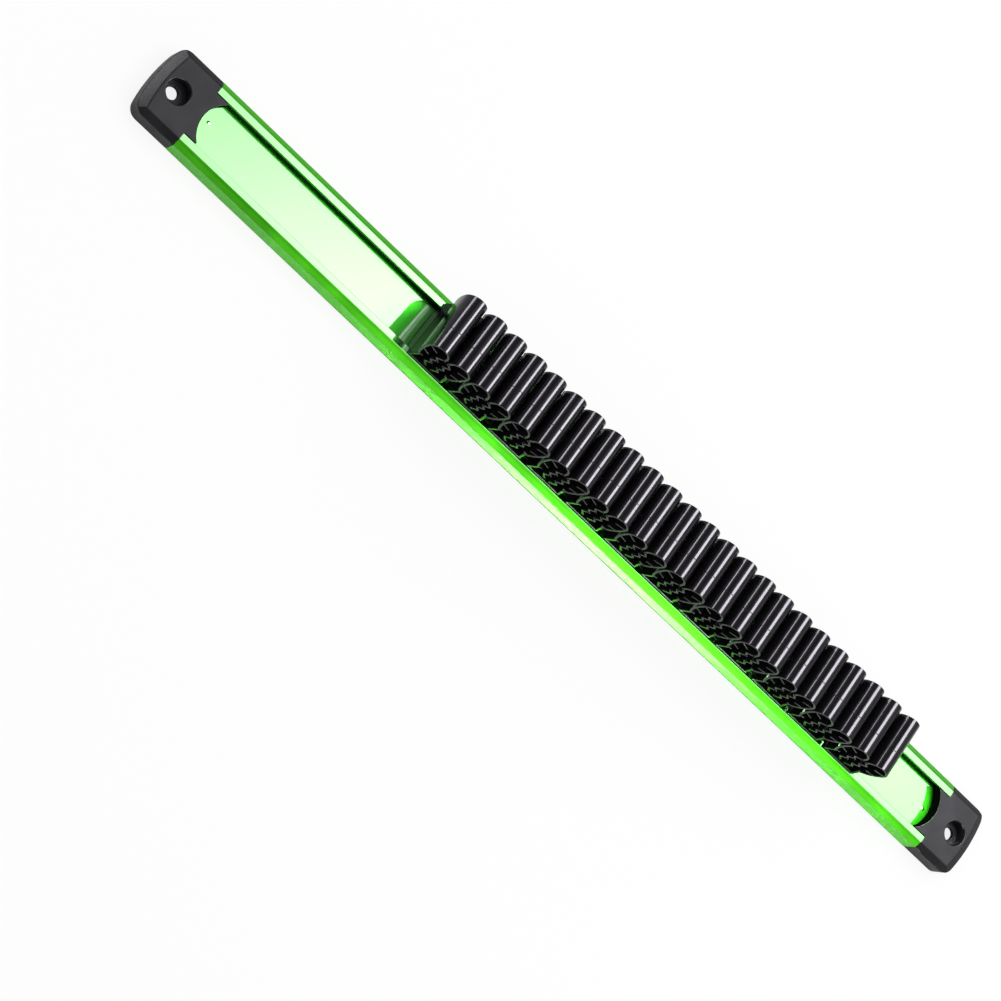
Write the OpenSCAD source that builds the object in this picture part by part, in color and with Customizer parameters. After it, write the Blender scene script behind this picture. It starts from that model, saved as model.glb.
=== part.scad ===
// Screwdriver rack: an extruded aluminium rail with a magnet strip in its back,
// a moulded cap with a screw hole on each end, and a row of sprung plastic clips
// that slide in the rail's slot.
// X runs along the rail, Y across it and Z out of its slot. The back lies at z = 0.

/* [Rail] */
// Length of the extrusion between the two caps
rail_len = 421; // [360:1:600]
// Width of the extrusion
rail_w = 32; // [31:0.5:40]
// Height of the extrusion from its back to the tops of its lips
rail_h = 10.1; // [9.5:0.1:14]
// Width of the sloping shoulder along each long edge
shoulder_w = 2.9; // [1:0.1:3.6]
// Height of the sloping shoulder
shoulder_h = 2.1; // [0.6:0.1:3]
// Clear width of the slot between the two lips
slot_w = 20.8; // [18:0.1:22]
// Thickness of the lips
lip_t = 1.6; // [1.2:0.1:2]
// Thickness of the side walls beside the slot
side_t = 1.7; // [1.4:0.1:2.2]
// Thickness of the web between the slot's floor and the recess in the back, where it is thinnest
web_t = 1.6; // [1:0.1:2]
// Radius of the slot's floor, which is slightly hollow across the rail
floor_r = 82; // [70:1:300]
// Break on the sharp edges of the lips
lip_break = 0.3; // [0.1:0.05:0.5]
// Number of fine grooves along each side
groove_count = 5; // [0:1:6]
// Depth of each fine groove
groove_d = 0.25; // [0.1:0.05:0.4]
// Distance between the fine grooves
groove_pitch = 1.25; // [0.9:0.05:1.4]

/* [Magnet strip] */
// Width of the recess in the back
recess_w = 25; // [20:0.5:27]
// Depth of the recess, which is the strip's thickness
recess_d = 2.5; // [1.5:0.1:3]
// Play between the strip and each side of the recess
strip_play = 0.15; // [0.05:0.05:0.5]
// How far the strip ends short of each end of the rail
strip_short = 1.5; // [0.5:0.5:10]

/* [End caps] */
// Length of a cap beyond the rail, on its centre line
cap_len = 21.5; // [19:0.5:30]
// Radius of the bowed outer end
bow_r = 70; // [45:1:150]
// Radius of the two outer corners
corner_r = 5; // [3:0.1:7]
// Width of the sloping edge round the outer end
end_bevel_w = 3.8; // [2:0.1:4]
// Distance from the rail's end to the middle of the screw recess
screw_x = 11.25; // [9:0.25:12.5]
// Diameter of the recess that takes the screw's head
head_d = 9.9; // [8:0.1:11]
// Height of the seat under the screw's head, above the back
seat_z = 4.6; // [4:0.1:6.5]
// Diameter of the hole for the screw's shank
shank_d = 5.2; // [4:0.1:6]
// How far the shank hole sits outward of the recess
shank_shift = 0.8; // [0:0.1:1]
// Depth of the fine break round the recess's mouth
mouth_break = 0.35; // [0.1:0.05:0.6]
// Radius of the hollow end of the tongue between the lips
tongue_r = 12.9; // [12:0.1:15]
// Distance from the rail's end to the deepest point of that hollow
tongue_min = 1.5; // [0.8:0.1:3]
// Thickness of the blunt horns on both sides of that hollow
horn_t = 0.4; // [0.2:0.1:1]
// Play between the tongue and the slot all round it
tongue_play = 0.3; // [0.1:0.05:0.5]
// Distance from the rail's end to the staking mark in the slot's floor
stake_x = 5.5; // [4.8:0.1:7]
// How far the staking mark lies from the centre line
stake_y = 1.7; // [0:0.1:3]
// Diameter of the staking mark
stake_d = 1.8; // [1:0.1:2.4]

/* [Clips] */
// Overall width of a clip along the rail
clip_w = 21; // [20:0.1:23]
// Length of a clip across the rail
clip_len = 25.3; // [22:0.1:26]
// Height of a clip above its seat on the lips
clip_h = 27.2; // [25:0.1:32]
// Gap between neighbouring clips
clip_gap = 0.84; // [0.4:0.02:1.5]
// How far the middle of the row lies to the right of the rail's middle
row_shift = 36.9; // [-60:0.1:60]
// Thickness of the clip's walls
wall_t = 1; // [0.8:0.05:1.3]
// Thickness of the clip's base plate
base_t = 1.2; // [0.9:0.1:2]
// Width of the clip's base plate along the rail
base_w = 17.8; // [17:0.1:19.6]
// Height at which the lobes are widest
lobe_z = 20.4; // [19:0.1:22]
// Height of the neck where the legs turn out into the lobes
neck_z = 7.3; // [6:0.1:8]
// Gap between the two lobes at their closest
lobe_gap = 1.2; // [0.6:0.1:2.4]
// Distance from one tooth of a jaw to the next
tooth_pitch = 5.15; // [4.6:0.05:5.4]
// Distance of the lower teeth's middle line from the clip's centre
tooth_x = 1.65; // [1.3:0.05:2.2]
// Distance of the valleys' middle line from the clip's centre
valley_x = 3.4; // [2.8:0.05:3.9]
// Radius of the bead on each tooth
bead_r = 0.62; // [0.5:0.02:0.75]
// Thickness of the ribs inside the lobes
rib_t = 0.8; // [0.6:0.05:1.1]

/* [Clip foot] */
// Thickness of the flanges that run under the lips
flange_t = 1.7; // [1.2:0.1:2.2]
// Wall of the hollow foot
foot_t = 1.3; // [1:0.1:2]
// Running play between a clip and the rail
slide_play = 0.25; // [0.15:0.05:0.3]

/* [Hidden] */

clip_count = 12;
first_clip = 4;             // where the clips start in NODES
tooth_count = 4;            // teeth on each jaw, the lobe's tip being the first
curve_step = 10;            // degrees between the points of a curved wall
over = 1;                   // how far a cut runs past the face that it opens
round_fn = 48;
bead_fn = 20;

half_w = rail_w / 2;
floor_z = recess_d + web_t;
inner_half = half_w - side_t;
slot_half = slot_w / 2;
lip_under_z = rail_h - lip_t;
side_face_h = rail_h - shoulder_h;

tongue_centre = tongue_min + tongue_r;
tongue_half = slot_half - tongue_play;
// The tongue ends just before the hollow meets the lips, so that its horns are blunt
tongue_len = tongue_centre - sqrt(pow(tongue_r, 2) - pow(tongue_half - horn_t, 2));

// Centre of the bow, centre of a rounded corner and the angle where the two curves meet
bow_x = cap_len - bow_r;
corner_x = bow_x + sqrt(pow(bow_r - corner_r, 2) - pow(half_w - corner_r, 2));
corner_angle = atan2(half_w - corner_r, corner_x - bow_x);

seat_on_lips = rail_h + slide_play;
clip_pitch = clip_w + clip_gap;
first_x = row_shift - (clip_count - 1) / 2 * clip_pitch;
lobe_rx = (clip_w - lobe_gap) / 4;
lobe_x = lobe_gap / 2 + lobe_rx;
wall_rx = lobe_rx - wall_t / 2;
wall_up = clip_h - wall_t / 2 - lobe_z;
wall_down = 14;             // reach of the lobe's lower curve below its widest height
neck_angle = -asin((lobe_z - neck_z) / wall_down);
first_tooth_z = lobe_z - 1;

// How far the hollow floor has risen at y, and points of the lobe's middle line with its taller upper half
function floor_rise(y) = floor_r - sqrt(pow(floor_r, 2) - pow(y, 2));
function lobe_point(a) =
    [lobe_x + wall_rx * cos(a), lobe_z + (a > 0 ? wall_up : wall_down) * sin(a)];
function outer_wall_x(z) =
    lobe_x + wall_rx * sqrt(1 - pow((lobe_z - z) / (z > lobe_z ? wall_up : wall_down), 2));

// A wall of even thickness along a middle line, with mitred corners
function across(a, b) = let (d = (b - a) / norm(b - a)) [-d[1], d[0]];
function mitre(p, i) =
    i == 0 ? across(p[0], p[1])
    : i == len(p) - 1 ? across(p[i - 1], p[i])
    : let (m = across(p[i - 1], p[i]), n = across(p[i], p[i + 1])) (m + n) / (1 + m * n);
function wall_outline(p, t) = concat(
    [for (i = [0 : len(p) - 1]) p[i] + mitre(p, i) * t / 2],
    [for (i = [len(p) - 1 : -1 : 0]) p[i] - mitre(p, i) * t / 2]
);

// Middle line of the zigzag jaw, from the lobe's tip down to its free end
function tooth(i) = [i == 0 ? lobe_x - wall_rx : tooth_x, first_tooth_z - i * tooth_pitch];
function valley(i) = [valley_x, first_tooth_z - (i + 0.5) * tooth_pitch];
function jaw_line() = concat(
    [for (i = [0 : tooth_count - 2]) each [tooth(i), valley(i)]],
    [tooth(tooth_count - 1)]
);
function lobe_line() = [for (a = [neck_angle : curve_step : 180]) lobe_point(a)];
function half_line() = concat([[base_w / 2 - wall_t / 2, base_t / 2]], lobe_line(), jaw_line());

// Ribs inside a lobe, each from its root on the outer wall to its free end
rib_lines = [
    [[outer_wall_x(22.2), 22.2], [lobe_x, 20.1]],
    [[outer_wall_x(15), 15], [lobe_x + 0.4, 13.6]],
    [[outer_wall_x(8.2), 8.2], [lobe_x + 0.3, 8.5]]
];

module mirror_pair(axis) {
    children();
    mirror(axis) children();
}

module along_x(length) {
    rotate([90, 0, 90]) linear_extrude(length, center = true) children();
}

// The slot's T shape over its hollow floor, shrunk all round by the play
module slot_section(play, top) {
    neck_half = slot_half - play;
    flare_half = inner_half - play;
    intersection() {
        union() {
            translate([-neck_half, 0]) square([2 * neck_half, top]);
            translate([-flare_half, 0]) square([2 * flare_half, lip_under_z - play]);
        }
        translate([0, floor_z + floor_r]) circle(floor_r - play, $fn = 8 * round_fn);
    }
}

module rail_outline() {
    polygon([
        [-half_w, 0], [half_w, 0], [half_w, side_face_h], [half_w - shoulder_w, rail_h],
        [-half_w + shoulder_w, rail_h], [-half_w, side_face_h]
    ]);
}

module side_grooves() {
    first = (side_face_h - (groove_count - 1) * groove_pitch) / 2;
    for (i = [0 : 1 : groove_count - 1]) {
        translate([half_w, first + i * groove_pitch])
            rotate(45) square(groove_d * sqrt(2), center = true);
    }
}

module rail_section() {
    difference() {
        rail_outline();
        slot_section(0, rail_h + over);
        translate([-recess_w / 2, -over]) square([recess_w, recess_d + over]);
        mirror_pair([1, 0]) side_grooves();
        mirror_pair([1, 0]) translate([slot_half, rail_h]) rotate(45)
            square(lip_break * sqrt(2), center = true);
    }
}

module stake_mark() {
    translate([rail_len / 2 - stake_x, stake_y, floor_z - stake_d / 4])
        cylinder(h = stake_d / 2, d1 = 0, d2 = stake_d * 2, $fn = round_fn);
}

module rail() {
    color([0.3, 0.8, 0.12]) difference() {
        along_x(rail_len) rail_section();
        mirror_pair([1, 0, 0]) stake_mark();
    }
}

module magnet_strip() {
    color([0.24, 0.22, 0.24]) along_x(rail_len - 2 * strip_short)
        translate([-recess_w / 2 + strip_play, 0]) square([recess_w - 2 * strip_play, recess_d]);
}

// What a rounded corner takes off the cap's plan, outside the two tangent points
module corner_waste() {
    far = 3 * corner_r;
    translate([corner_x, half_w - corner_r]) difference() {
        polygon([[0, 0], [0, far], [far, far], far * [cos(corner_angle), sin(corner_angle)]]);
        circle(corner_r, $fn = round_fn);
    }
}

// The rail's outline run on, with a bowed and bevelled end
module cap_block() {
    bevel_slope = end_bevel_w / shoulder_h;
    difference() {
        intersection() {
            translate([cap_len / 2, 0, 0]) along_x(cap_len) rail_outline();
            translate([bow_x, 0, 0]) rotate_extrude($fn = 6 * round_fn) polygon([
                [0, -over], [bow_r, -over], [bow_r, side_face_h],
                [bow_r - bevel_slope * (shoulder_h + over), rail_h + over], [0, rail_h + over]
            ]);
        }
        mirror_pair([0, 1, 0]) translate([0, 0, -over])
            linear_extrude(rail_h + 2 * over) corner_waste();
    }
}

module cap_tongue() {
    difference() {
        translate([-tongue_len / 2, 0, 0])
            along_x(tongue_len) slot_section(tongue_play, rail_h);
        translate([-tongue_centre, 0, 0])
            cylinder(h = rail_h + over, r = tongue_r, $fn = 2 * round_fn);
    }
}

module screw_way() {
    head_r = head_d / 2;
    translate([screw_x, 0, 0]) rotate_extrude($fn = round_fn) polygon([
        [0, seat_z], [head_r, seat_z], [head_r, rail_h - mouth_break],
        [head_r + mouth_break + over, rail_h + over], [0, rail_h + over]
    ]);
    translate([screw_x + shank_shift, 0, -over])
        cylinder(h = seat_z + 2 * over, d = shank_d, $fn = round_fn);
}

module back_recess() {
    recess_end = cap_len - end_bevel_w;
    translate([-over, -recess_w / 2, -over]) cube([recess_end + over, recess_w, recess_d + over]);
}

// One moulding serves both ends. This one is on the right, with its origin at the rail's end.
module end_cap() {
    color([0.2, 0.2, 0.22]) difference() {
        union() {
            cap_block();
            cap_tongue();
        }
        back_recess();
        screw_way();
    }
}

module end_cap_right() {
    translate([rail_len / 2, 0, 0]) end_cap();
}

module end_cap_left() {
    rotate([0, 0, 180]) end_cap_right();
}

module clip_section() {
    translate([-base_w / 2, 0]) square([base_w, base_t]);
    mirror_pair([1, 0]) {
        polygon(wall_outline(half_line(), wall_t));
        for (i = [0 : tooth_count - 1]) translate(tooth(i)) circle(bead_r, $fn = bead_fn);
        for (line = rib_lines) polygon(wall_outline(line, rib_t));
    }
}

// The hollow foot in the slot, with a flange under each lip
module clip_foot() {
    neck_half = slot_half - slide_play;
    flange_half = inner_half - slide_play;
    foot_bottom = floor_z + floor_rise(neck_half) + slide_play;
    flange_top = lip_under_z - slide_play;
    difference() {
        union() {
            translate([-base_w / 2, -neck_half, foot_bottom])
                cube([base_w, 2 * neck_half, seat_on_lips + base_t / 2 - foot_bottom]);
            translate([-base_w / 2, -flange_half, flange_top - flange_t])
                cube([base_w, 2 * flange_half, flange_t]);
        }
        translate([-base_w / 2 + foot_t, -neck_half + foot_t, foot_bottom - over])
            cube([base_w - 2 * foot_t, 2 * (neck_half - foot_t), seat_on_lips - foot_bottom + over]);
    }
}

module clip(i) {
    color([0.07, 0.07, 0.08]) translate([first_x + (i - 1) * clip_pitch, 0, 0]) union() {
        translate([0, 0, seat_on_lips]) rotate([90, 0, 0])
            linear_extrude(clip_len, center = true) clip_section();
        clip_foot();
    }
}

rail();
magnet_strip();
end_cap_left();
end_cap_right();
for (i = [1 : clip_count]) {
    clip(i);
}
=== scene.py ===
"""Looks of the screwdriver rack: rounded pieces, their finishes, the studio and the camera.

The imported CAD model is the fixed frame. Lengths are in metres, and a size times MM is in millimetres.
X runs along the rail, Y across it and Z out of its slot.
"""

import math

import bpy
from mathutils import Euler, Matrix, Vector


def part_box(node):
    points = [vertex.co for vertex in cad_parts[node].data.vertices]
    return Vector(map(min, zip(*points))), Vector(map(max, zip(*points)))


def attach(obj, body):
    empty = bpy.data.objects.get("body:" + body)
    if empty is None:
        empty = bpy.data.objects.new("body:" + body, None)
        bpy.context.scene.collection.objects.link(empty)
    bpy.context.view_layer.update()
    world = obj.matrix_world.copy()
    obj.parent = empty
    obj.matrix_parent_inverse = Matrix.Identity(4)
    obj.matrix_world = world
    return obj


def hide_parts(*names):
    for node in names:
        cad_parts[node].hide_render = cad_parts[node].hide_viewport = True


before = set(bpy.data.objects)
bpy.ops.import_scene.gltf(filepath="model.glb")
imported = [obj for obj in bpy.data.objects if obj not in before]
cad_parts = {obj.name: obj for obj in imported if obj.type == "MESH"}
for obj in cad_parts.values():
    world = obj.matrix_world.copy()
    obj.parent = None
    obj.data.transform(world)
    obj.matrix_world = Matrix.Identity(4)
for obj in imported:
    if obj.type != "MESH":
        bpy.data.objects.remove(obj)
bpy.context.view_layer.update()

MM = 0.001
CLIPS = [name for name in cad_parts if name.startswith("clip_")]

# Sizes that the frame gives
rail_low, rail_high = (Vector(corner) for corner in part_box("rail"))
clip_low, clip_high = (Vector(corner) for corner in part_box("clip_01"))
RAIL_LEN = rail_high.x - rail_low.x
HALF_W = rail_high.y
RAIL_H = rail_high.z
CAP_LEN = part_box("end_cap_right")[1][0] - rail_high.x
CLIP_W = clip_high.x - clip_low.x
CLIP_TOP = clip_high.z
FOOT_HALF = clip_high.y
RECESS_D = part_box("magnet_strip")[1][2]

# Rail section
SHOULDER_W = 2.9 * MM
SHOULDER_H = 2.1 * MM
SLOT_HALF = 10.4 * MM
LIP_T = 1.6 * MM
INNER_HALF = HALF_W - 1.7 * MM
FLOOR_Z = RECESS_D + 1.6 * MM
FLOOR_R = 82 * MM
RECESS_HALF = 12.5 * MM
GROOVE_COUNT = 5
GROOVE_D = 0.25 * MM
GROOVE_PITCH = 1.25 * MM
GROOVE_EDGE_R = 2 * GROOVE_D
GROOVE_ROOT_R = 0.2 * GROOVE_D
SIDE_FACE_H = RAIL_H - SHOULDER_H
RAIL_ROUNDING = 0.22 * MM
LIP_ROUNDING = 2 * RAIL_ROUNDING
FLOOR_STEPS = 24

# Each stake mark: the end it is at, its distance from that end, and its Y
STAKE_PLACES = ((-1, 5.5 * MM, 1.7 * MM), (1, 4.5 * MM, 0.4 * MM))
STAKE_R = 0.95 * MM
STAKE_H = 0.3 * MM
STAKE_ROOT = 0.5 * MM
STAKE_TIP_SHARE = 0.02
STAKE_STEPS = 8

# End caps
BOW_R = 70 * MM
CORNER_R = 5 * MM
END_BEVEL_W = 3.8 * MM
SCREW_X = 11.25 * MM
HEAD_R = 4.95 * MM
SEAT_Z = 4.6 * MM
SHANK_R = 2.6 * MM
SHANK_SHIFT = 0.8 * MM
MOUTH_BREAK = 0.35 * MM
TONGUE_R = 12.9 * MM
TONGUE_MIN = 1.5 * MM
TONGUE_PLAY = 0.3 * MM
HORN_T = 0.4 * MM
CAP_ROUNDING = 0.4 * MM
FINE_ROUNDING = 0.12 * MM
CAP_SEAM = 0.2 * MM
CREASE_SNAP = 0.6 * MM
OVERCUT = 1 * MM

# Clips
SLIDE_PLAY = 0.25 * MM
SEAT = RAIL_H + SLIDE_PLAY
CLIP_LEN = 25.3 * MM
CLIP_H = CLIP_TOP - SEAT
WALL_T = 1.0 * MM
BASE_T = 1.2 * MM
BASE_W = 17.8 * MM
LOBE_Z = 20.4 * MM
NECK_Z = 7.3 * MM
LOBE_GAP = 1.2 * MM
WALL_DOWN = 14 * MM
TOOTH_COUNT = 4
TOOTH_PITCH = 5.15 * MM
TOOTH_X = 1.65 * MM
VALLEY_X = 3.4 * MM
BEAD_R = 0.62 * MM
RIB_T = 0.8 * MM
FLANGE_T = 1.7 * MM
CLIP_ROUNDING = 0.16 * MM
FOOT_ROUNDING = 0.25 * MM
TOOTH_BEND_R = 0.35 * MM
NECK_BEND_R = 1.2 * MM
FIRST_TOOTH_DOWN = 1 * MM
WITNESS_Y = -3.3 * MM
WITNESS_W = 0.4 * MM

# Each rib: the height of its root, and its tip's distance from the lobe's middle and height
RIB_PLACES = (
    (22.2 * MM, 0.0, 20.1 * MM),
    (15 * MM, 0.4 * MM, 13.6 * MM),
    (8.2 * MM, 0.3 * MM, 8.5 * MM),
)

# Green aluminium: how far up a face has to look to be level, its clear coat, how much of its
# roughness is left on the lips' tops, and its colours. The colours are painted light and shade on one
# metal: a lighter green on the level faces, a darker one on the ribbed sides, and darkest under the
# lips.
LEVEL_FACING = (0.82, 0.88)
SIDE_SHEEN = 0.17
SIDE_COAT_ROUGHNESS = 0.12
LEVEL_COAT_ROUGHNESS = 0.03
BURNISHED_SHARE = 0.5
LEVEL_GREEN_PAINTED_LIGHT = (0.06, 0.85, 0.02, 1)
SATIN_GREEN = (0.072, 0.53, 0.013, 1)
RIBBED_GREEN_PAINTED_SHADE = (0.06, 0.43, 0.009, 1)
SLOT_GREEN_PAINTED_SHADE = (0.02, 0.18, 0.015, 1)

# Cap plastic, in the same way; its colour is painted darker where it lies in the slot, as painted shade
CAP_LEVEL_FACING = (0.90, 0.97)
CAP_SIDE_SPECULAR = 0.15
CAP_LEVEL_SPECULAR = 0.36
OPEN_CHARCOAL = (0.009, 0.0085, 0.0105, 1)
SLOT_CHARCOAL_PAINTED_SHADE = (0.002, 0.004, 0.002, 1)

# Studio
FLOOR_HALF = 3.0
FLOOR_WHITE_SHARE = 0.85
GLOSSY_WORLD = 0.7

# Each softbox: its name, its place, the point it is turned to, its width and length, and its radiance
SOFTBOXES = (
    ("softbox_right", (0.165, 0.18, 0.34), (0.03, 0.18, 0.0), (0.18, 0.30), 38),
    ("softbox_left", (-0.62, 0.25, 0.22), (0.0, 0.25, 0.03), (0.15, 0.40), 24),
    ("softbox_front", (0.245, -0.52, 0.15), (0.04, 0.0, 0.0), (0.09, 0.30), 58),
)

# Each card: the same, but with its radiance at the left and right, and whether it lights matt faces
CARDS = (
    ("card_left", (-0.03, 0.2, 0.75), (-0.03, 0.2, 0.0), (0.36, 0.9), 0.91, 2.3, True),
    ("card_right", (0.55, 0.2, 0.75), (0.55, 0.2, 0.0), (0.8, 0.9), 2.25, 1.6, True),
    ("card_front", (0.1, -0.52, 0.75), (0.1, -0.52, 0.0), (2.4, 0.5), 0.45, 0.75, False),
    ("flag_left", (-0.50, 0.2, 0.75), (-0.50, 0.2, 0.0), (0.58, 0.9), 0.3, 0.3, False),
    ("flag_front", (0.3, -1.05, 0.70), (0.3, 0.0, 0.0), (1.6, 0.75), 0.10, 0.42, True),
    ("flag_back", (0.25, 0.80, 0.12), (0.0, 0.0, 0.0), (1.8, 0.34), 0.1, 0.1, False),
)

# Camera of the photograph, with its turn in degrees
SENSOR_MM = 36
LENS_MM = 104.82
CAMERA_SHIFT = (0.00463, -0.00603)
CAMERA_PLACE = (-0.38318, -0.40425, 1.00389)
CAMERA_TURN = (3.4972, -27.1905, 39.0023)


# Node helpers

def put(tree, kind, inputs=None, **settings):
    """Adds a node with its properties. Its inputs take values, or sockets of other nodes."""
    node = tree.nodes.new(kind)
    for name, value in settings.items():
        setattr(node, name, value)
    for key, value in (inputs or {}).items():
        if isinstance(value, bpy.types.NodeSocket):
            tree.links.new(value, node.inputs[key])
        else:
            node.inputs[key].default_value = value
    return node


def new_group(name, kind, inputs, outputs):
    """A node group with named sockets. Returns it with its input and output nodes."""
    group = bpy.data.node_groups.new(name, kind)
    for label, socket_type, default in inputs:
        socket = group.interface.new_socket(label, in_out="INPUT", socket_type=socket_type)
        if default is not None:
            socket.default_value = default
    for label, socket_type in outputs:
        group.interface.new_socket(label, in_out="OUTPUT", socket_type=socket_type)
    return group, group.nodes.new("NodeGroupInput"), group.nodes.new("NodeGroupOutput")


def fade(tree, value, low, high, start, stop):
    """A mask that runs from start to stop while a value runs from low to high."""
    spread = put(tree, "ShaderNodeMapRange", {
        "Value": value, "From Min": low, "From Max": high, "To Min": start, "To Max": stop})
    return spread.outputs["Result"]


def reckon(tree, operation, *values):
    """The result of one step of arithmetic on sockets or numbers."""
    node = put(tree, "ShaderNodeMath", dict(enumerate(values)), operation=operation)
    return node.outputs["Value"]


def both(tree, one, other):
    """The product of two masks."""
    return reckon(tree, "MULTIPLY", one, other)


def blend(tree, mask, one, other):
    """A colour between two others."""
    return put(tree, "ShaderNodeMix", {0: mask, 6: one, 7: other}, data_type="RGBA").outputs[2]


def place_masks(tree):
    """The height, the distances from the middle along X and Y, and how far a face looks up."""
    coordinates = put(tree, "ShaderNodeTexCoord")
    place = put(tree, "ShaderNodeSeparateXYZ", {"Vector": coordinates.outputs["Object"]})
    facing = put(tree, "ShaderNodeSeparateXYZ", {"Vector": coordinates.outputs["Normal"]})
    from_middle = [reckon(tree, "ABSOLUTE", place.outputs[axis]) for axis in ("X", "Y")]
    return place.outputs["Z"], *from_middle, facing.outputs["Z"]


def put_group(tree, group, inputs):
    """Places a shader or geometry group inside another tree."""
    kind = "ShaderNodeGroup" if group.bl_idname == "ShaderNodeTree" else "GeometryNodeGroup"
    return put(tree, kind, inputs, node_tree=group)


# Mesh helpers

FLAT_DEGREES = 0.3


def link_object(name, mesh):
    """Puts a mesh into the scene as an object at the origin."""
    piece = bpy.data.objects.new(name, mesh)
    bpy.context.scene.collection.objects.link(piece)
    return piece


def outline_object(name, outlines):
    """Outlines as edges in the XY plane.

    Each outline is (points, closed), and each point is (x, y, rounding, tag).
    """
    places, edges, rounding, tags = [], [], [], []
    for points, closed in outlines:
        first = len(places)
        for x, y, radius, tag in points:
            places.append((x, y, 0))
            rounding.append(radius)
            tags.append(tag)
        last = len(places) - 1
        edges += [(i, i + 1) for i in range(first, last)]
        if closed:
            edges.append((last, first))
    mesh = bpy.data.meshes.new(name)
    mesh.from_pydata(places, edges, [])
    mesh.attributes.new("rounding", "FLOAT", "POINT").data.foreach_set("value", rounding)
    mesh.attributes.new("tag", "INT", "POINT").data.foreach_set("value", tags)
    return link_object(name, mesh)


def grow(carrier, tree, name, settings):
    """Runs a geometry tree on a carrier object and returns the result as a plain mesh object."""
    modifier = carrier.modifiers.new(tree.name, "NODES")
    modifier.node_group = tree
    given = [item for item in tree.interface.items_tree if item.in_out == "INPUT"]
    identifiers = {item.name: item.identifier for item in given}
    for label, value in settings.items():
        modifier[identifiers[label]] = value
    evaluated = carrier.evaluated_get(bpy.context.evaluated_depsgraph_get())
    mesh = bpy.data.meshes.new_from_object(evaluated)
    carrier.modifiers.remove(modifier)
    mesh.name = name
    return link_object(name, mesh)


def paint(piece, material):
    """Gives every face of a piece the one material."""
    piece.data.materials.clear()
    piece.data.materials.append(material)
    piece.data.polygons.foreach_set("material_index", [0] * len(piece.data.polygons))


def bake_modifiers(piece):
    """Applies the modifiers of a piece to its mesh."""
    evaluated = piece.evaluated_get(bpy.context.evaluated_depsgraph_get())
    mesh = bpy.data.meshes.new_from_object(evaluated)
    piece.modifiers.clear()
    piece.data = mesh


def cut(piece, tool, operation="DIFFERENCE"):
    """Joins a tool solid to a piece, or takes it away, and removes the tool."""
    modifier = piece.modifiers.new("cut", "BOOLEAN")
    modifier.operation = operation
    modifier.solver = "EXACT"
    modifier.object = tool
    bake_modifiers(piece)
    bpy.data.objects.remove(tool)


def round_edges(piece, width, segments, degrees):
    """Bevels the edges that are sharper than an angle."""
    bevel = piece.modifiers.new("edges", "BEVEL")
    bevel.width = width
    bevel.segments = segments
    bevel.limit_method = "ANGLE"
    bevel.angle_limit = math.radians(degrees)
    bevel.use_clamp_overlap = False
    bevel.miter_outer = "MITER_ARC"
    bake_modifiers(piece)


def smooth_by_angle(piece, degrees):
    """Shades the roundings smooth, keeps sharper edges, and leaves the large faces flat and whole."""
    whole = piece.modifiers.new("whole_faces", "DECIMATE")
    whole.decimate_type = "DISSOLVE"
    whole.angle_limit = math.radians(FLAT_DEGREES)
    bake_modifiers(piece)
    piece.data.shade_smooth()
    piece.data.set_sharp_from_angle(angle=math.radians(degrees))
    level = piece.modifiers.new("flat_faces", "WEIGHTED_NORMAL")
    level.mode = "FACE_AREA"
    level.keep_sharp = True
    bake_modifiers(piece)


def solid_from_rings(name, rings):
    """A closed solid lofted through rings of equally many points, with flat ends."""
    count = len(rings[0])
    places = [point for ring in rings for point in ring]
    faces = [list(reversed(range(count)))]
    for level in range(len(rings) - 1):
        low, high = level * count, (level + 1) * count
        for i in range(count):
            j = (i + 1) % count
            faces.append((low + i, low + j, high + j, high + i))
    faces.append([(len(rings) - 1) * count + i for i in range(count)])
    mesh = bpy.data.meshes.new(name)
    mesh.from_pydata(places, [], faces)
    return link_object(name, mesh)


def prism(name, plan, low, high):
    """A solid standing on a plan of (x, y) points that run anticlockwise."""
    return solid_from_rings(name, [[(x, y, z) for x, y in plan] for z in (low, high)])


def rectangle(start_x, end_x, half_y):
    """The plan of a block that lies even about the X axis."""
    return [(start_x, -half_y), (end_x, -half_y), (end_x, half_y), (start_x, half_y)]


def turned(name, centre_x, profile, steps):
    """A solid turned about an upright axis, from (radius, z) points that run upwards."""
    rings = []
    for radius, z in profile:
        turns = [2 * math.pi * i / steps for i in range(steps)]
        rings.append([(centre_x + radius * math.cos(a), radius * math.sin(a), z) for a in turns])
    return solid_from_rings(name, rings)


def arc(centre, radius, start, stop, steps):
    """Points of an arc between two angles in degrees."""
    angles = [math.radians(start + (stop - start) * i / steps) for i in range(steps + 1)]
    return [(centre[0] + radius * math.cos(a), centre[1] + radius * math.sin(a)) for a in angles]


# Geometry trees

def rounded_lines(tree, given, steps):
    """The given edges as curves, with each corner rounded by its own radius."""
    rounding = put(tree, "GeometryNodeInputNamedAttribute", {"Name": "rounding"}, data_type="FLOAT")
    curve = put(tree, "GeometryNodeMeshToCurve", {"Mesh": given.outputs["Geometry"]})
    rounded = put(tree, "GeometryNodeFilletCurve", {
        "Curve": curve.outputs["Curve"], "Count": steps,
        "Radius": rounding.outputs["Attribute"], "Limit Radius": True,
    }, mode="POLY")
    return rounded.outputs["Curve"]


def joined(tree, *pieces):
    """Several geometries as one."""
    join = put(tree, "GeometryNodeJoinGeometry")
    for piece in pieces:
        tree.links.new(piece, join.inputs["Geometry"])
    return join.outputs["Geometry"]


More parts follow.
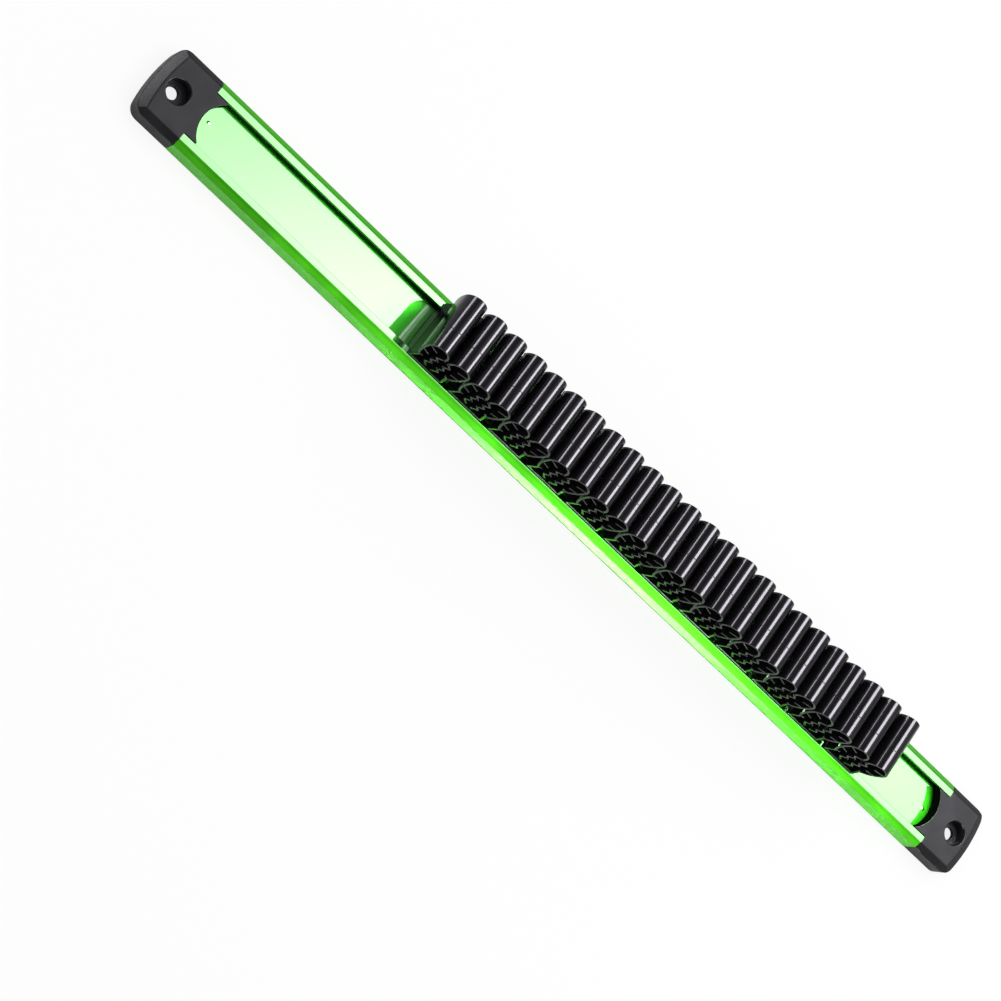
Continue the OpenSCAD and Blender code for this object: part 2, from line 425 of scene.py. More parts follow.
def make_extrusion_tree():
    """Rounds the corners of closed outlines and pushes the filled section along X, centred."""
    tree, given, result = new_group("extruded_section", "GeometryNodeTree", [
        ("Geometry", "NodeSocketGeometry", None),
        ("Length", "NodeSocketFloat", 0.1),
        ("Corner steps", "NodeSocketInt", 3),
        ("Material", "NodeSocketMaterial", None),
    ], [("Geometry", "NodeSocketGeometry")])
    outline = rounded_lines(tree, given, given.outputs["Corner steps"])
    filled = put(tree, "GeometryNodeFillCurve", {"Curve": outline}, mode="NGONS")
    pushed = put(tree, "GeometryNodeExtrudeMesh", {
        "Mesh": filled.outputs["Mesh"], "Offset": (0, 0, 1),
        "Offset Scale": given.outputs["Length"], "Individual": False,
    }, mode="FACES")
    turned_over = put(tree, "GeometryNodeFlipFaces", {"Mesh": filled.outputs["Mesh"]})
    skin = joined(tree, pushed.outputs["Mesh"], turned_over.outputs["Mesh"])
    closed = put(tree, "GeometryNodeMergeByDistance", {"Geometry": skin, "Distance": 0.001 * MM})
    half_back = reckon(tree, "MULTIPLY", given.outputs["Length"], -0.5)
    offset = put(tree, "ShaderNodeCombineXYZ", {"Z": half_back})
    centred = put(tree, "GeometryNodeTransform",
                  {"Geometry": closed.outputs["Geometry"], "Translation": offset.outputs["Vector"]})
    laid = put(tree, "GeometryNodeTransform", {
        "Geometry": centred.outputs["Geometry"], "Rotation": (math.pi / 2, 0, math.pi / 2)})
    finished = put(tree, "GeometryNodeSetMaterial",
                   {"Geometry": laid.outputs["Geometry"], "Material": given.outputs["Material"]})
    tree.links.new(finished.outputs["Geometry"], result.inputs["Geometry"])
    return tree


def make_wall_tree():
    """Sweeps a wall with rounded edges along open lines in the XY plane."""
    tree, given, result = new_group("swept_wall", "GeometryNodeTree", [
        ("Geometry", "NodeSocketGeometry", None),
        ("Thickness", "NodeSocketFloat", 1 * MM),
        ("Height", "NodeSocketFloat", 25 * MM),
        ("Edge rounding", "NodeSocketFloat", 0.1 * MM),
    ], [("Geometry", "NodeSocketGeometry")])
    section = put(tree, "GeometryNodeCurvePrimitiveQuadrilateral", {
        "Width": given.outputs["Thickness"], "Height": given.outputs["Height"],
    }, mode="RECTANGLE")
    soft_section = put(tree, "GeometryNodeFilletCurve", {
        "Curve": section.outputs["Curve"], "Count": 3, "Radius": given.outputs["Edge rounding"],
    }, mode="POLY")
    swept = put(tree, "GeometryNodeCurveToMesh", {
        "Curve": rounded_lines(tree, given, 3),
        "Profile Curve": soft_section.outputs["Curve"], "Fill Caps": True})
    tree.links.new(swept.outputs["Mesh"], result.inputs["Geometry"])
    return tree


# What a point of a clip's outline belongs to
WALL, TOOTH, RIB = 0, 1, 2


def make_clip_tree(extrusion, wall):
    """One sprung clip: its walls, ribs and toothed jaws are swept, and its foot is extruded."""
    tree, given, result = new_group("sprung_clip", "GeometryNodeTree", [
        ("Geometry", "NodeSocketGeometry", None),
        ("Foot outline", "NodeSocketObject", None),
        ("Length", "NodeSocketFloat", 25 * MM),
        ("Wall thickness", "NodeSocketFloat", 1 * MM),
        ("Rib thickness", "NodeSocketFloat", 0.8 * MM),
        ("Bead radius", "NodeSocketFloat", 0.6 * MM),
        ("Edge rounding", "NodeSocketFloat", 0.1 * MM),
        ("Foot width", "NodeSocketFloat", 18 * MM),
        ("Seat height", "NodeSocketFloat", 10 * MM),
        ("Place along rail", "NodeSocketFloat", 0.0),
        ("Material", "NodeSocketMaterial", None),
    ], [("Geometry", "NodeSocketGeometry")])
    tag = put(tree, "GeometryNodeInputNamedAttribute", {"Name": "tag"}, data_type="INT")
    is_rib, is_tooth = (
        put(tree, "FunctionNodeCompare", {2: tag.outputs["Attribute"], 3: wanted},
            data_type="INT", operation="EQUAL")
        for wanted in (RIB, TOOTH))
    split = put(tree, "GeometryNodeSeparateGeometry", {
        "Geometry": given.outputs["Geometry"], "Selection": is_rib.outputs["Result"]}, domain="POINT")
    ribs, walls = (
        put_group(tree, wall, {
            "Geometry": split.outputs[lines], "Thickness": given.outputs[thickness],
            "Height": given.outputs["Length"], "Edge rounding": given.outputs["Edge rounding"]})
        for lines, thickness in (("Selection", "Rib thickness"), ("Inverted", "Wall thickness")))
    tips = put(tree, "GeometryNodeMeshToPoints",
               {"Mesh": given.outputs["Geometry"], "Selection": is_tooth.outputs["Result"]})
    bead = put(tree, "GeometryNodeMeshCylinder", {
        "Vertices": 20, "Radius": given.outputs["Bead radius"], "Depth": given.outputs["Length"]})
    beads = put(tree, "GeometryNodeInstanceOnPoints",
                {"Points": tips.outputs["Points"], "Instance": bead.outputs["Mesh"]})
    lift = put(tree, "ShaderNodeCombineXYZ", {"Z": given.outputs["Seat height"]})
    spring = put(tree, "GeometryNodeTransform", {
        "Geometry": joined(tree, ribs.outputs["Geometry"], walls.outputs["Geometry"],
                           beads.outputs["Instances"]),
        "Translation": lift.outputs["Vector"], "Rotation": (math.pi / 2, 0, 0)})
    foot_info = put(tree, "GeometryNodeObjectInfo", {"Object": given.outputs["Foot outline"]})
    foot = put_group(tree, extrusion, {
        "Geometry": foot_info.outputs["Geometry"], "Length": given.outputs["Foot width"],
        "Corner steps": 3, "Material": given.outputs["Material"]})
    whole = joined(tree, spring.outputs["Geometry"], foot.outputs["Geometry"])
    along = put(tree, "ShaderNodeCombineXYZ", {"X": given.outputs["Place along rail"]})
    placed = put(tree, "GeometryNodeTransform", {
        "Geometry": whole, "Translation": along.outputs["Vector"]})
    real = put(tree, "GeometryNodeRealizeInstances", {"Geometry": placed.outputs["Geometry"]})
    finished = put(tree, "GeometryNodeSetMaterial",
                   {"Geometry": real.outputs["Geometry"], "Material": given.outputs["Material"]})
    tree.links.new(finished.outputs["Geometry"], result.inputs["Geometry"])
    return tree


# Shader groups that the finishes share

def make_grain_group():
    """A fine relief, stretched by its Stretch input, given as a normal."""
    group, given, result = new_group("fine_grain", "ShaderNodeTree", [
        ("Scale", "NodeSocketFloat", 1000.0),
        ("Stretch", "NodeSocketVector", (1.0, 1.0, 1.0)),
        ("Strength", "NodeSocketFloat", 0.2),
        ("Depth", "NodeSocketFloat", 0.02 * MM),
    ], [("Normal", "NodeSocketVector")])
    coordinates = put(group, "ShaderNodeTexCoord")
    mapping = put(group, "ShaderNodeMapping",
                  {"Vector": coordinates.outputs["Object"], "Scale": given.outputs["Stretch"]})
    noise = put(group, "ShaderNodeTexNoise", {
        "Vector": mapping.outputs["Vector"], "Scale": given.outputs["Scale"],
        "Detail": 3.0, "Roughness": 0.6})
    bump = put(group, "ShaderNodeBump", {
        "Strength": given.outputs["Strength"], "Distance": given.outputs["Depth"],
        "Height": noise.outputs["Fac"]})
    group.links.new(bump.outputs["Normal"], result.inputs["Normal"])
    return group


def make_variation_group():
    """A slow change between two values over the surface, such as a roughness."""
    group, given, result = new_group("slow_variation", "ShaderNodeTree", [
        ("Scale", "NodeSocketFloat", 60.0),
        ("Low", "NodeSocketFloat", 0.2),
        ("High", "NodeSocketFloat", 0.3),
    ], [("Value", "NodeSocketFloat")])
    coordinates = put(group, "ShaderNodeTexCoord")
    noise = put(group, "ShaderNodeTexNoise", {
        "Vector": coordinates.outputs["Object"], "Scale": given.outputs["Scale"], "Detail": 4.0})
    spread = fade(group, noise.outputs["Fac"], 0.35, 0.65, given.outputs["Low"], given.outputs["High"])
    group.links.new(spread, result.inputs["Value"])
    return group


def new_material(name, settings):
    """A material whose shader has the given plain settings. Returns it, its tree and the shader."""
    material = bpy.data.materials.new(name)
    material.use_nodes = True
    tree = material.node_tree
    shader = tree.nodes["Principled BSDF"]
    for label, value in settings.items():
        shader.inputs[label].default_value = value
    return material, tree, shader


def make_green_aluminium(grain, variation):
    """Green anodised aluminium. Its level faces have a clear mirror, and its sides a faint sheen.
    Its colour is painted lighter on level faces and darker on the ribbed sides and under the lips,
    as painted light and shade.
    """
    material, tree, shader = new_material("green_aluminium", {"Metallic": 1.0, "Coat IOR": 4.0})
    height, _, reach, facing = place_masks(tree)
    level = fade(tree, facing, *LEVEL_FACING, 0.0, 1.0)
    ribbed = fade(tree, reach, HALF_W - 1.3 * GROOVE_D, HALF_W - 1.1 * GROOVE_D, 0.0, 1.0)
    coat = reckon(tree, "MAXIMUM", level, both(tree, ribbed, SIDE_SHEEN))
    tree.links.new(coat, shader.inputs["Coat Weight"])
    coat_roughness = fade(tree, level, 0.0, 1.0, SIDE_COAT_ROUGHNESS, LEVEL_COAT_ROUGHNESS)
    tree.links.new(coat_roughness, shader.inputs["Coat Roughness"])

    # Painted shade: the walls and floor under the lips are painted a darker green
    beyond_slot = fade(tree, reach, SLOT_HALF - 0.1 * MM, SLOT_HALF, 0.0, 1.0)
    within_walls = fade(tree, reach, HALF_W - SHOULDER_W, INNER_HALF, 1.0, 0.0)
    below_top = fade(tree, height, RAIL_H - 0.3 * LIP_T, RAIL_H - 0.2 * LIP_T, 1.0, 0.0)
    painted_shade_under_lip = both(tree, both(tree, beyond_slot, within_walls), below_top)
    # Painted light and shade: level faces are painted a lighter green and the ribbed side a darker one
    colour = blend(tree, ribbed, SATIN_GREEN, RIBBED_GREEN_PAINTED_SHADE)
    colour = blend(tree, level, colour, LEVEL_GREEN_PAINTED_LIGHT)
    tree.links.new(blend(tree, painted_shade_under_lip, colour, SLOT_GREEN_PAINTED_SHADE), shader.inputs["Base Color"])

    satin = put_group(tree, variation, {"Scale": 45.0, "Low": 0.28, "High": 0.36}).outputs["Value"]
    near_top = fade(tree, height, RAIL_H - 0.5 * LIP_T, RAIL_H - 0.3 * LIP_T, 0.0, 1.0)
    burnished = fade(tree, both(tree, level, near_top), 0.0, 1.0, 1.0, BURNISHED_SHARE)
    tree.links.new(both(tree, satin, burnished), shader.inputs["Roughness"])
    drawn = put_group(tree, grain, {
        "Scale": 900.0, "Stretch": (0.03, 1.0, 1.0), "Strength": 0.015, "Depth": 0.01 * MM})
    tree.links.new(drawn.outputs["Normal"], shader.inputs["Normal"])
    return material


def make_clip_plastic(grain, variation):
    """Glossy black plastic with a fine witness line across each lobe."""
    material, tree, shader = new_material("clip_plastic", {
        "Base Color": (0.006, 0.0055, 0.007, 1), "IOR": 1.45, "Specular IOR Level": 0.27,
        "Specular Tint": (0.95, 0.90, 1.0, 1)})
    rough = put_group(tree, variation, {"Scale": 220.0, "Low": 0.10, "High": 0.18})
    tree.links.new(rough.outputs["Value"], shader.inputs["Roughness"])
    fine = put_group(tree, grain, {
        "Scale": 2500.0, "Stretch": (1.0, 0.15, 1.0), "Strength": 0.06, "Depth": 0.01 * MM})
    coordinates = put(tree, "ShaderNodeTexCoord")
    place = put(tree, "ShaderNodeSeparateXYZ", {"Vector": coordinates.outputs["Object"]})
    reach = reckon(tree, "ABSOLUTE", reckon(tree, "SUBTRACT", place.outputs["Y"], WITNESS_Y))
    groove = put(tree, "ShaderNodeMapRange", {
        "Value": reach, "From Min": 0.0, "From Max": WITNESS_W / 2, "To Min": 0.0, "To Max": 1.0,
    }, interpolation_type="SMOOTHSTEP")
    line = put(tree, "ShaderNodeBump", {
        "Strength": 0.8, "Distance": 0.08 * MM,
        "Height": groove.outputs["Result"], "Normal": fine.outputs["Normal"]})
    tree.links.new(line.outputs["Normal"], shader.inputs["Normal"])
    return material


def make_cap_plastic(grain, variation):
    """Charcoal plastic with a fine moulded texture. Where it lies in the slot it is painted darker
    and given no specular, as painted shade.
    """
    material, tree, shader = new_material("cap_plastic", {
        "IOR": 1.5, "Specular Tint": (0.93, 0.94, 1.0, 1)})
    rough = put_group(tree, variation, {"Scale": 120.0, "Low": 0.30, "High": 0.38})
    tree.links.new(rough.outputs["Value"], shader.inputs["Roughness"])
    height, reach, _, facing = place_masks(tree)
    outside = fade(tree, reach, rail_high.x - 0.2 * MM, rail_high.x, 0.0, 1.0)
    on_top = fade(tree, height, RAIL_H - 0.2 * MM, RAIL_H - 0.1 * MM, 0.0, 1.0)
    # Painted shade: where the cap lies in the slot it is painted darker and given no specular
    open_face = reckon(tree, "MAXIMUM", outside, on_top)
    specular = fade(tree, facing, *CAP_LEVEL_FACING, CAP_SIDE_SPECULAR, CAP_LEVEL_SPECULAR)
    tree.links.new(both(tree, open_face, specular), shader.inputs["Specular IOR Level"])
    colour = blend(tree, open_face, SLOT_CHARCOAL_PAINTED_SHADE, OPEN_CHARCOAL)
    tree.links.new(colour, shader.inputs["Base Color"])
    fine = put_group(tree, grain, {
        "Scale": 2600.0, "Stretch": (1.0, 1.0, 1.0), "Strength": 0.35, "Depth": 0.03 * MM})
    tree.links.new(fine.outputs["Normal"], shader.inputs["Normal"])
    return material


def make_magnet_rubber(grain, variation):
    """Matt charcoal magnet sheet with faint marks of the rollers."""
    material, tree, shader = new_material("magnet_rubber", {
        "Base Color": (0.047, 0.042, 0.047, 1), "IOR": 1.4})
    rough = put_group(tree, variation, {"Scale": 90.0, "Low": 0.72, "High": 0.86})
    tree.links.new(rough.outputs["Value"], shader.inputs["Roughness"])
    rolled = put_group(tree, grain, {
        "Scale": 1400.0, "Stretch": (1.0, 0.2, 1.0), "Strength": 0.4, "Depth": 0.04 * MM})
    tree.links.new(rolled.outputs["Normal"], shader.inputs["Normal"])
    return material


# Rail

def floor_point(y, play=0.0):
    """A point of the slightly hollow floor, or of the surface that keeps a play above it."""
    radius = FLOOR_R - play
    return y, FLOOR_Z + FLOOR_R - math.sqrt(radius ** 2 - y ** 2)


def rail_half_section():
    """The rail's right half, from the recess in its back round to the middle of its floor."""
    edge = RAIL_ROUNDING
    points = [(RECESS_HALF, RECESS_D, 0.0), (RECESS_HALF, 0.0, edge), (HALF_W, 0.0, edge)]
    first = (SIDE_FACE_H - (GROOVE_COUNT - 1) * GROOVE_PITCH) / 2
    for i in range(GROOVE_COUNT):
        z = first + i * GROOVE_PITCH
        points += [
            (HALF_W, z - GROOVE_D, GROOVE_EDGE_R),
            (HALF_W - GROOVE_D, z, GROOVE_ROOT_R),
            (HALF_W, z + GROOVE_D, GROOVE_EDGE_R),
        ]
    points += [
        (HALF_W, SIDE_FACE_H, edge),
        (HALF_W - SHOULDER_W, RAIL_H, LIP_ROUNDING),
        (SLOT_HALF, RAIL_H, edge),
        (SLOT_HALF, RAIL_H - LIP_T, edge),
        (INNER_HALF, RAIL_H - LIP_T, edge),
        (*floor_point(INNER_HALF), edge),
    ]
    shares = [i / FLOOR_STEPS for i in range(FLOOR_STEPS - 1, 0, -1)]
    return points + [(*floor_point(INNER_HALF * share), 0.0) for share in shares]


def make_rail(extrusion, material):
    """The extrusion, with a stake mark near each end of its floor."""
    half = rail_half_section()
    right = [(y, z, radius, 0) for y, z, radius in half]
    left = [(-y, z, radius, 0) for y, z, radius in reversed(half)]
    outline = outline_object("rail_outline", [(right + left, True)])
    rail = grow(outline, extrusion, "rail_extrusion",
                {"Length": RAIL_LEN, "Corner steps": 5, "Material": material})
    bpy.data.objects.remove(outline)
    for side, from_end, y in STAKE_PLACES:
        shares = [1 - (1 - STAKE_TIP_SHARE) * i / STAKE_STEPS for i in range(STAKE_STEPS + 1)]
        dome = [(STAKE_R * share, FLOOR_Z + STAKE_H * (1 - share ** 2) ** 2) for share in shares]
        mark = turned("stake_mark", 0, [(STAKE_R, FLOOR_Z - STAKE_ROOT)] + dome, steps=48)
        mark.data.transform(Matrix.Translation((side * (rail_high.x - from_end), y, 0)))
        cut(rail, mark, "UNION")
    paint(rail, material)
    smooth_by_angle(rail, degrees=24)
    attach(rail, "rail")
    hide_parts("rail")


# End caps

def cap_plan():
    """Half of the block's outline, from the middle of its bowed end round to its side.

    The second result is the number of the point where the end bevel meets the shoulder.
    """
    bow_x = CAP_LEN - BOW_R
    corner_y = HALF_W - CORNER_R
    centre = (bow_x + math.sqrt((BOW_R - CORNER_R) ** 2 - corner_y ** 2), corner_y)
    meet = math.degrees(math.atan2(corner_y, centre[0] - bow_x))

    # The crease lies where both slopes have risen equally far. Each step halves what is left.
    low, high = meet, 90.0
    for _ in range(40):
        crease = (low + high) / 2
        x, y = arc(centre, CORNER_R, crease, crease, steps=1)[0]
        if (HALF_W - y) / SHOULDER_W > (BOW_R - math.hypot(x - bow_x, y)) / END_BEVEL_W:
            low = crease
        else:
            high = crease

    bow = arc((bow_x, 0), BOW_R, 0, meet, steps=12)
    to_crease = arc(centre, CORNER_R, meet, crease, steps=4)[1:]
    to_side = arc(centre, CORNER_R, crease, 90, steps=4)[1:]
    return bow + to_crease + to_side, len(bow) + len(to_crease) - 1


def make_cap_block(start_x):
    """The cap's block, with its bowed end, round corners, end bevel and shoulders.

    It has one loop of points at the bottom, one at the slopes' feet, and one round its top.
    """
    bow_x = CAP_LEN - BOW_R
    top_r = BOW_R - END_BEVEL_W
    top_y = HALF_W - SHOULDER_W
    half, crease = cap_plan()
    half.append((start_x, HALF_W))
    plan = [(x, -y) for x, y in reversed(half[1:])] + half
    count, middle = len(plan), len(half) - 1

    # The slopes start from the whole width and bow, so their feet rise round the corners
    places = [(x, y, 0) for x, y in plan]
    for x, y in plan:
        rise = min((HALF_W - abs(y)) / SHOULDER_W, (BOW_R - math.hypot(x - bow_x, y)) / END_BEVEL_W)
        places.append((x, y, SIDE_FACE_H + SHOULDER_H * max(rise, 0)))
    faces = [list(reversed(range(count)))]
    faces += [(i, i + 1, count + i + 1, count + i) for i in range(count - 1)]

    # The bowed edge of the top. Points that come near a crease are all set on it.
    widest = math.asin(top_y / top_r)
    first, last = middle - crease, middle + crease
    top, above = [], {}
    for i in range(first, last + 1):
        x, y = plan[i]
        turn = math.atan2(y, x - bow_x)
        if abs(turn) > widest - CREASE_SNAP / top_r:
            turn = math.copysign(widest, turn)
        point = (bow_x + top_r * math.cos(turn), top_r * math.sin(turn), RAIL_H)
        if not top or point != places[top[-1]]:
            top.append(len(places))
            places.append(point)
        above[i] = top[-1]
    for i in range(first, last):
        face = [count + i, count + i + 1, above[i + 1], above[i]]
        faces.append(face[:3] if above[i] == above[i + 1] else face)

    # The top, both shoulders and the rear
    near_rear, far_rear = len(places), len(places) + 1
    places += [(start_x, -top_y, RAIL_H), (start_x, top_y, RAIL_H)]
    faces.append(top + [far_rear, near_rear])
    faces.append([count + i for i in range(first + 1)] + [top[0], near_rear])
    faces.append([count + i for i in range(last, count)] + [far_rear, top[-1]])
    faces.append([count - 1, 0, count, near_rear, far_rear, 2 * count - 1])
    mesh = bpy.data.meshes.new("end_cap")
    mesh.from_pydata(places, [], faces)
    return link_object("end_cap", mesh)


def make_cap_solid():
    """The cap of the right end, with its origin at the rail's end."""
    cap = make_cap_block(-2 * OVERCUT)
    round_edges(cap, CAP_ROUNDING, segments=3, degrees=24)
    behind = rectangle(-4 * OVERCUT, CAP_SEAM, HALF_W + OVERCUT)
    cut(cap, prism("rail_room", behind, -OVERCUT, RAIL_H + OVERCUT))
    cut(cap, make_tongue(), "UNION")
    recess = rectangle(-OVERCUT, CAP_LEN - END_BEVEL_W, RECESS_HALF)
    cut(cap, prism("back_recess", recess, -OVERCUT, RECESS_D))
    mouth = (HEAD_R + MOUTH_BREAK + OVERCUT, RAIL_H + OVERCUT)
    head = [(HEAD_R, SEAT_Z), (HEAD_R, RAIL_H - MOUTH_BREAK), mouth]
    cut(cap, turned("head_recess", SCREW_X, head, steps=96))
    shank = [(SHANK_R, -OVERCUT), (SHANK_R, SEAT_Z + OVERCUT)]
    cut(cap, turned("shank_hole", SCREW_X + SHANK_SHIFT, shank, steps=64))
    round_edges(cap, FINE_ROUNDING, segments=2, degrees=40)
    return cap


def make_tongue():
    """The part between the lips, with its hollow end. It runs a little way into the cap's block."""
    centre = TONGUE_MIN + TONGUE_R
    neck = SLOT_HALF - TONGUE_PLAY
    flare = INNER_HALF - TONGUE_PLAY
    step_z = RAIL_H - LIP_T - TONGUE_PLAY
    horn_y = neck - HORN_T
    half_angle = math.degrees(math.asin(horn_y / TONGUE_R))
    hollow = arc((-centre, 0), TONGUE_R, half_angle, -half_angle, steps=48)
    end_x = hollow[0][0]
    steps = 32
    shares = [1 - 2 * i / steps for i in range(steps + 1)]
    underside = [floor_point(flare * share, TONGUE_PLAY) for share in shares]
    low = FLOOR_Z - OVERCUT

    def plan(half):
        return [(OVERCUT, -half), (OVERCUT, half), (end_x, half)] + hollow + [(end_x, -half)]

    tongue = prism("tongue", plan(neck), low, RAIL_H)
    cut(tongue, prism("flanges", plan(flare), low, step_z), "UNION")
    side = flare + OVERCUT
    waste = [(-side, low - OVERCUT), (side, low - OVERCUT), (side, underside[0][1])]
    waste += underside + [(-side, underside[-1][1])]
    rings = [[(x, y, z) for y, z in waste] for x in (end_x - OVERCUT, 2 * OVERCUT)]
    cut(tongue, solid_from_rings("under_tongue", rings))
    return tongue


def make_caps(material):
    """Both end caps. The left one is the right one turned half round."""
    right = make_cap_solid()
    right.name = "end_cap_right_moulding"
    right.data.transform(Matrix.Translation((rail_high.x, 0, 0)))
    left = link_object("end_cap_left_moulding", right.data.copy())
    left.data.transform(Matrix.Rotation(math.pi, 4, "Z"))
    for cap, node in ((left, "end_cap_left"), (right, "end_cap_right")):
        paint(cap, material)
        smooth_by_angle(cap, degrees=30)
        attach(cap, "rail")
        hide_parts(node)


# Clips

def clip_outlines():
    """Middle lines of a clip's walls, jaws and ribs, above its seat."""
    lobe_rx = (CLIP_W - LOBE_GAP) / 4
    lobe_x = LOBE_GAP / 2 + lobe_rx
    wall_rx = lobe_rx - WALL_T / 2
    wall_up = CLIP_H - WALL_T / 2 - LOBE_Z
    neck_angle = -math.degrees(math.asin((LOBE_Z - NECK_Z) / WALL_DOWN))

    def lobe_point(degrees):
        a = math.radians(degrees)
        reach = wall_up if a > 0 else WALL_DOWN
        return lobe_x + wall_rx * math.cos(a), LOBE_Z + reach * math.sin(a)

    def outer_wall_x(z):
        reach = wall_up if z > LOBE_Z else WALL_DOWN
        return lobe_x + wall_rx * math.sqrt(1 - ((LOBE_Z - z) / reach) ** 2)

    steps = 64
    angles = [neck_angle + (180 - neck_angle) * i / steps for i in range(steps + 1)]
    wall = [(BASE_W / 2 - WALL_T / 2, BASE_T / 2, 0.0, WALL)]
    wall += [(*lobe_point(a), NECK_BEND_R if i == 0 else 0.0, WALL) for i, a in enumerate(angles)]
    for i in range(TOOTH_COUNT):
        z = LOBE_Z - FIRST_TOOTH_DOWN - i * TOOTH_PITCH
        wall.append((lobe_x - wall_rx if i == 0 else TOOTH_X, z, TOOTH_BEND_R, TOOTH))
        if i < TOOTH_COUNT - 1:
            wall.append((VALLEY_X, z - TOOTH_PITCH / 2, TOOTH_BEND_R, WALL))
    ribs = [[(outer_wall_x(root_z), root_z, 0.0, RIB), (lobe_x + tip_x, tip_z, 0.0, RIB)]
            for root_z, tip_x, tip_z in RIB_PLACES]
    lines = [wall] + ribs
    mirrored = [[(-x, z, radius, tag) for x, z, radius, tag in line] for line in lines]
    return [(line, False) for line in lines + mirrored]


def foot_outline():
    """The foot's section: its plate lies on the lips, its neck between them and its flanges below."""
    flange_top = RAIL_H - LIP_T - SLIDE_PLAY
    neck = SLOT_HALF - SLIDE_PLAY
    foot_bottom = floor_point(neck)[1] + SLIDE_PLAY
    half = [
        (neck, foot_bottom),
        (neck, flange_top - FLANGE_T),
        (FOOT_HALF, flange_top - FLANGE_T),
        (FOOT_HALF, flange_top),
        (neck, flange_top),
        (neck, SEAT),
        (CLIP_LEN / 2, SEAT),
        (CLIP_LEN / 2, SEAT + BASE_T),
    ]
    right = [(y, z, FOOT_ROUNDING, WALL) for y, z in half]
    left = [(-y, z, FOOT_ROUNDING, WALL) for y, z in reversed(half)]
    return [(right + left, True)]


def make_clips(extrusion, wall, material):
    """Twelve equal clips, each grown from the same lines at its own place along the rail."""
    tree = make_clip_tree(extrusion, wall)
    lines = outline_object("clip_lines", clip_outlines())
    foot = outline_object("foot_outline", foot_outline())
    for node in CLIPS:
        low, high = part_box(node)
        clip = grow(lines, tree, node + "_moulding", {
            "Foot outline": foot, "Length": CLIP_LEN,
            "Wall thickness": WALL_T, "Rib thickness": RIB_T, "Bead radius": BEAD_R,
            "Edge rounding": CLIP_ROUNDING, "Foot width": BASE_W, "Seat height": SEAT,
            "Place along rail": (low[0] + high[0]) / 2, "Material": material})
        smooth_by_angle(clip, degrees=35)
        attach(clip, node)
        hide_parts(node)
    bpy.data.objects.remove(lines)
    bpy.data.objects.remove(foot)


# Studio

def show_plain(tree, plain, lit, share, rays):
    """Mixes in a plain emission for the named kinds of rays."""
    path = put(tree, "ShaderNodeLightPath")
    factor = path.outputs[rays[0]]
    for kind in rays[1:]:
        factor = reckon(tree, "MAXIMUM", factor, path.outputs[kind])
    factor = both(tree, factor, share)
    return put(tree, "ShaderNodeMixShader", {0: factor, 1: lit, 2: plain}).outputs["Shader"]


def sheet(name, width, length):
    """A flat rectangle that lies centred in the XY plane."""
    x, y = width / 2, length / 2
    mesh = bpy.data.meshes.new(name)
    mesh.from_pydata([(-x, -y, 0), (x, -y, 0), (x, y, 0), (-x, y, 0)], [], [(0, 1, 2, 3)])
    return mesh


def empty_material(name):
    """A material without nodes. Returns it and its tree."""
    material = bpy.data.materials.new(name)
    material.use_nodes = True
    material.node_tree.nodes.clear()
    return material, material.node_tree


def make_floor():
    """Pale paper, which the camera sees as nearly plain white."""
    mesh = sheet("studio_floor", 2 * FLOOR_HALF, 2 * FLOOR_HALF)
    floor = link_object("studio_floor", mesh)
    material, tree = empty_material("studio_floor")
    paper = put(tree, "ShaderNodeBsdfDiffuse", {"Color": (0.85, 0.85, 0.85, 1)}).outputs["BSDF"]
    white = put(tree, "ShaderNodeEmission", {"Strength": 1.0}).outputs["Emission"]
    mixed = show_plain(tree, white, paper, FLOOR_WHITE_SHARE, ["Is Camera Ray"])
    put(tree, "ShaderNodeOutputMaterial", {"Surface": mixed})
    mesh.materials.append(material)


def make_world():
    """White for the camera and for matt faces, and grey in reflections."""
    world = bpy.data.worlds.new("studio")
    bpy.context.scene.world = world
    world.use_nodes = True
    tree = world.node_tree
    tree.nodes.clear()
    backdrops = [put(tree, "ShaderNodeBackground", {"Color": (1, 1, 1, 1), "Strength": strength})
                 for strength in (1.0, GLOSSY_WORLD, 1.0)]
    light, grey, white = (backdrop.outputs["Background"] for backdrop in backdrops)
    mixed = show_plain(tree, grey, light, 1.0, ["Is Glossy Ray"])
    mixed = show_plain(tree, white, mixed, 1.0, ["Is Camera Ray", "Is Transmission Ray"])
    put(tree, "ShaderNodeOutputWorld", {"Surface": mixed})


def add_softbox(name, place, aim, size, radiance):
    """A rectangular lamp with its second side along Y. It makes highlights only."""
    lamp = bpy.data.lights.new(name, "AREA")
    lamp.shape = "RECTANGLE"
    lamp.size, lamp.size_y = size
    lamp.energy = math.pi * radiance * size[0] * size[1]
    lamp_object = bpy.data.objects.new(name, lamp)
    bpy.context.scene.collection.objects.link(lamp_object)
    back = (Vector(place) - Vector(aim)).normalized()
    across = Vector((0, 1, 0)).cross(back).normalized()
    turn = Matrix((across, back.cross(across), back)).transposed().to_4x4()
    lamp_object.matrix_world = Matrix.Translation(place) @ turn
    lamp_object.visible_diffuse = False


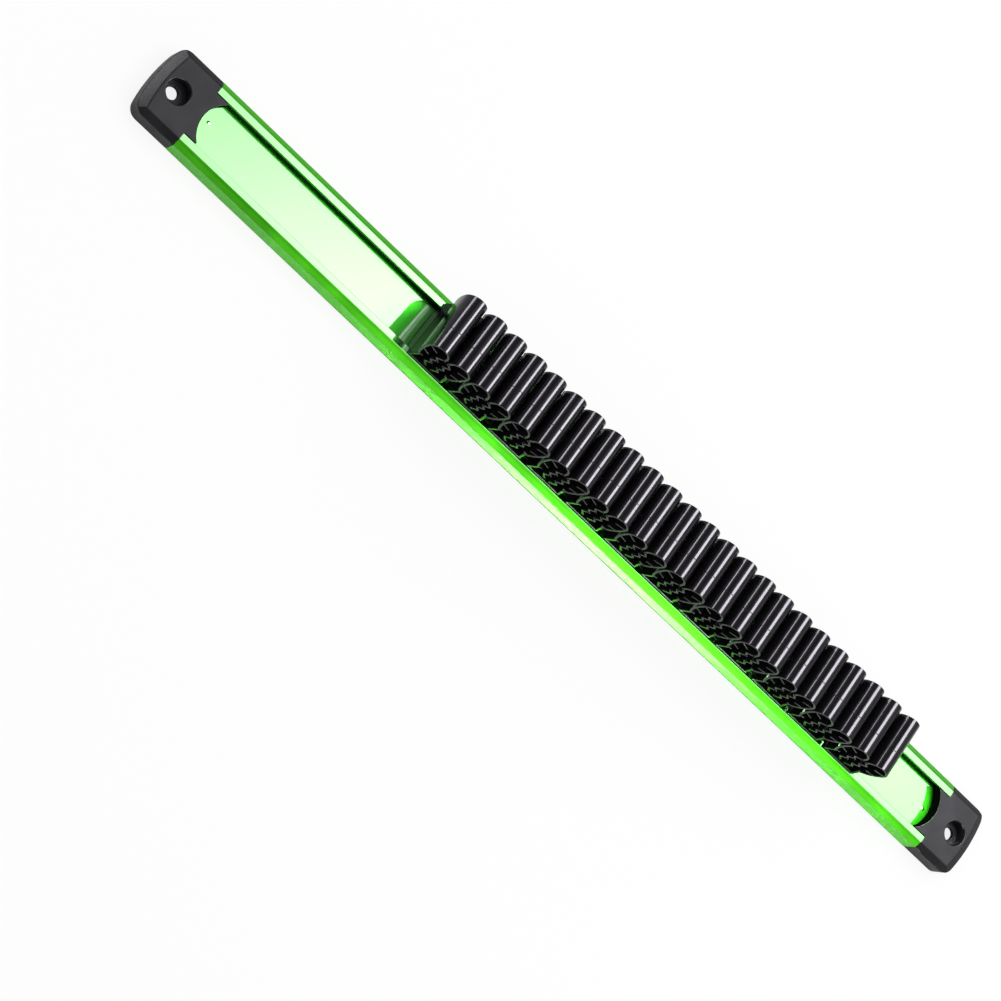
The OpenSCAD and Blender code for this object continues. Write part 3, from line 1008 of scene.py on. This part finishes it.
def add_card(name, place, aim, size, left, right, lights):
    """A glowing card, hidden from the camera, whose radiance changes along X."""
    mesh = sheet(name, *size)
    turn = (Vector(aim) - Vector(place)).to_track_quat("-Z", "Y").to_matrix().to_4x4()
    mesh.transform(Matrix.Translation(place) @ turn)
    material, tree = empty_material(name)
    coordinates = put(tree, "ShaderNodeTexCoord")
    along = put(tree, "ShaderNodeSeparateXYZ", {"Vector": coordinates.outputs["Object"]})
    radiance = put(tree, "ShaderNodeMapRange", {
        "Value": along.outputs["X"],
        "From Min": place[0] - size[0] / 2, "From Max": place[0] + size[0] / 2,
        "To Min": left, "To Max": right,
    }, interpolation_type="SMOOTHSTEP")
    glow = put(tree, "ShaderNodeEmission", {"Strength": radiance.outputs["Result"]})
    put(tree, "ShaderNodeOutputMaterial", {"Surface": glow.outputs["Emission"]})
    mesh.materials.append(material)
    card = link_object(name, mesh)
    card.visible_camera = False
    card.visible_diffuse = lights


def make_lights():
    """The softboxes, then the cards."""
    for softbox in SOFTBOXES:
        add_softbox(*softbox)
    for card in CARDS:
        add_card(*card)


def make_camera():
    """The camera at the place that it had for the photograph."""
    camera = bpy.data.cameras.new("camera")
    camera.sensor_width = SENSOR_MM
    camera.lens = LENS_MM
    camera.shift_x, camera.shift_y = CAMERA_SHIFT
    camera_object = bpy.data.objects.new("camera", camera)
    bpy.context.scene.collection.objects.link(camera_object)
    camera_object.location = CAMERA_PLACE
    camera_object.rotation_euler = Euler([math.radians(angle) for angle in CAMERA_TURN])
    bpy.context.scene.camera = camera_object


def make_rack():
    """The rack's moulded and extruded pieces, and the finish of its magnet."""
    grain = make_grain_group()
    variation = make_variation_group()
    extrusion = make_extrusion_tree()
    wall = make_wall_tree()
    make_rail(extrusion, make_green_aluminium(grain, variation))
    make_caps(make_cap_plastic(grain, variation))
    make_clips(extrusion, wall, make_clip_plastic(grain, variation))
    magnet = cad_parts["magnet_strip"]
    magnet.data.materials.clear()
    magnet.data.materials.append(make_magnet_rubber(grain, variation))


bpy.context.scene.view_settings.view_transform = "Standard"
make_camera()
make_floor()
make_world()
make_lights()
make_rack()
